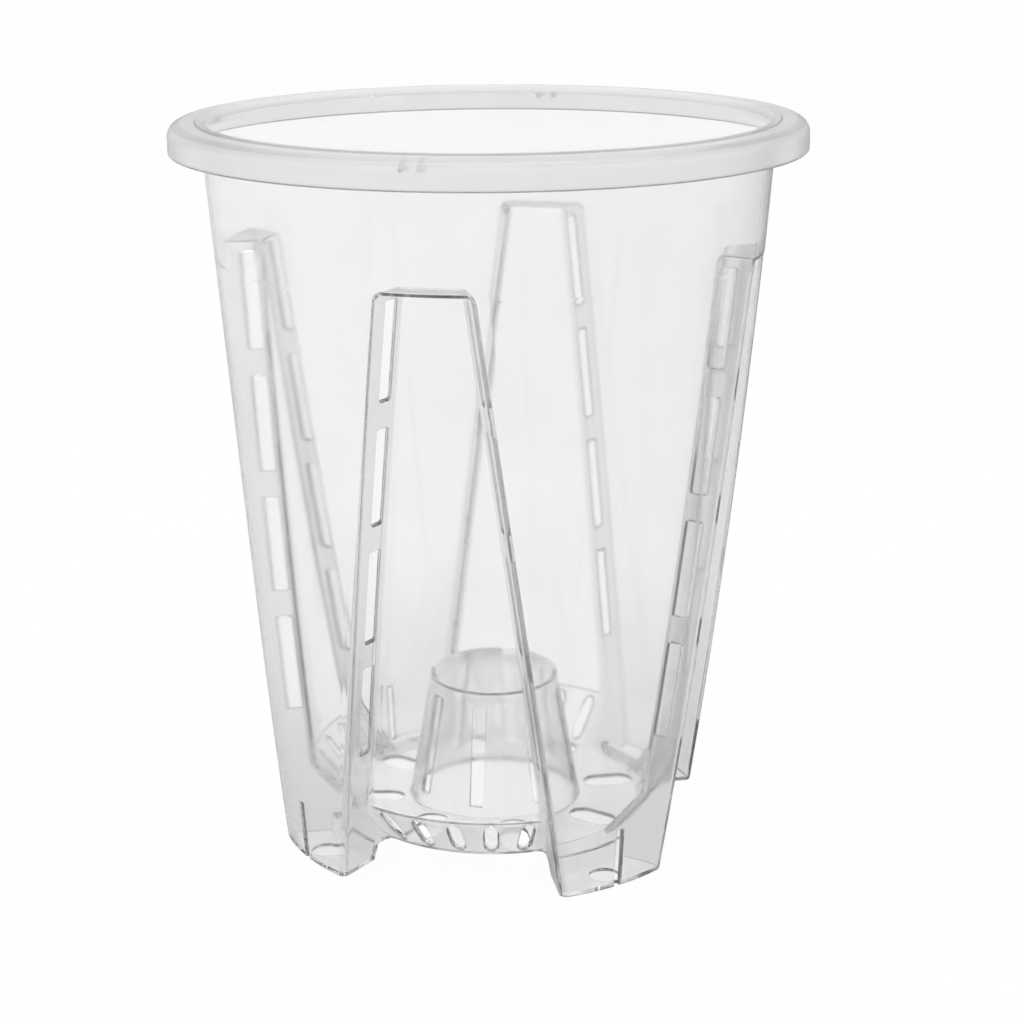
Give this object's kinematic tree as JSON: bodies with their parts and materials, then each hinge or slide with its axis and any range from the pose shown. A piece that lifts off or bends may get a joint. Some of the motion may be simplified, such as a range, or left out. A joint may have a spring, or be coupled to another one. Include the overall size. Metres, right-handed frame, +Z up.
{
  "type": "root control pot",
  "caption": "Clear tapered plant pot with a rolled lip, A-shaped side recesses lined with air slots, hollow legs and a raised floor round a slotted aeration cone.",
  "frame": {"origin": "on the pot's axis, at the level of the feet", "axes": "+Z up along the pot's axis; one recess faces each of -Y (front), +X (right), +Y (back) and -X (left)"},
  "size_m": [0.155, 0.155, 0.183],
  "materials": {
    "clear_plastic": "clear injection-moulded polypropylene, smooth and slightly hazy",
    "milky_plastic": "the same clear polypropylene, milkier where the lip is thick"
  },
  "bodies": {
    "root": {"rim_lip": "milky_plastic", "rim_skirt": "milky_plastic", "rim_rib_right_a": "milky_plastic", "rim_rib_right_b": "milky_plastic", "rim_rib_back_a": "milky_plastic", "rim_rib_back_b": "milky_plastic", "rim_rib_left_a": "milky_plastic", "rim_rib_left_b": "milky_plastic", "rim_rib_front_a": "milky_plastic", "rim_rib_front_b": "milky_plastic", "upper_wall": "clear_plastic", "leg_wall_back_right": "clear_plastic", "leg_wall_back_left": "clear_plastic", "leg_wall_front_left": "clear_plastic", "leg_wall_front_right": "clear_plastic", "recess_shelf_right": "clear_plastic", "recess_shelf_back": "clear_plastic", "recess_shelf_left": "clear_plastic", "recess_shelf_front": "clear_plastic", "recess_panel_right": "clear_plastic", "recess_panel_back": "clear_plastic", "recess_panel_left": "clear_plastic", "recess_panel_front": "clear_plastic", "recess_side_right_a": "clear_plastic", "recess_side_right_b": "clear_plastic", "recess_side_back_a": "clear_plastic", "recess_side_back_b": "clear_plastic", "recess_side_left_a": "clear_plastic", "recess_side_left_b": "clear_plastic", "recess_side_front_a": "clear_plastic", "recess_side_front_b": "clear_plastic", "floor_edge_right": "clear_plastic", "floor_edge_back": "clear_plastic", "floor_edge_left": "clear_plastic", "floor_edge_front": "clear_plastic", "floor_plate": "clear_plastic", "foot_cup_back_right": "clear_plastic", "foot_cup_back_left": "clear_plastic", "foot_cup_front_left": "clear_plastic", "foot_cup_front_right": "clear_plastic", "cone_wall": "clear_plastic", "cone_cap": "clear_plastic"}
  },
  "joints": []
}
